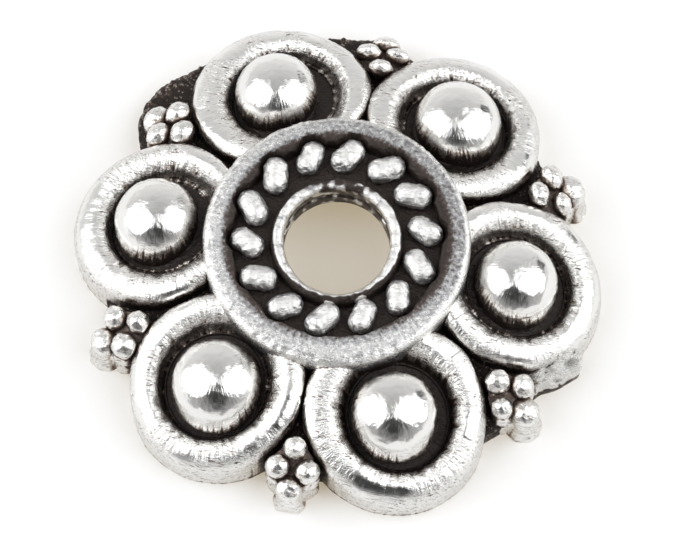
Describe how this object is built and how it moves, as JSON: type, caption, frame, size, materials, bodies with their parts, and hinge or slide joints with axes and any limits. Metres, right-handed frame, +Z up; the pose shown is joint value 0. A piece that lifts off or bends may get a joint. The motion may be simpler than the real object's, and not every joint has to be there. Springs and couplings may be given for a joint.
{
  "type": "bead cap",
  "caption": "Round cast metal bead cap: a ring of domed petals round a raised collar with a twisted row and a centre hole, hollow at the back.",
  "frame": {"origin": "centre of the foot's flat face, on the axis of the hole", "axes": "+Z up along the hole, from the hollow back to the collar; +X through the middle of a petal"},
  "size_m": [0.015, 0.0144, 0.0029],
  "materials": {
    "antiqued_silver": "silver plate, dark in the recesses and polished bright on the high spots"
  },
  "bodies": {
    "root": {"bead_cap": "antiqued_silver"}
  },
  "joints": []
}
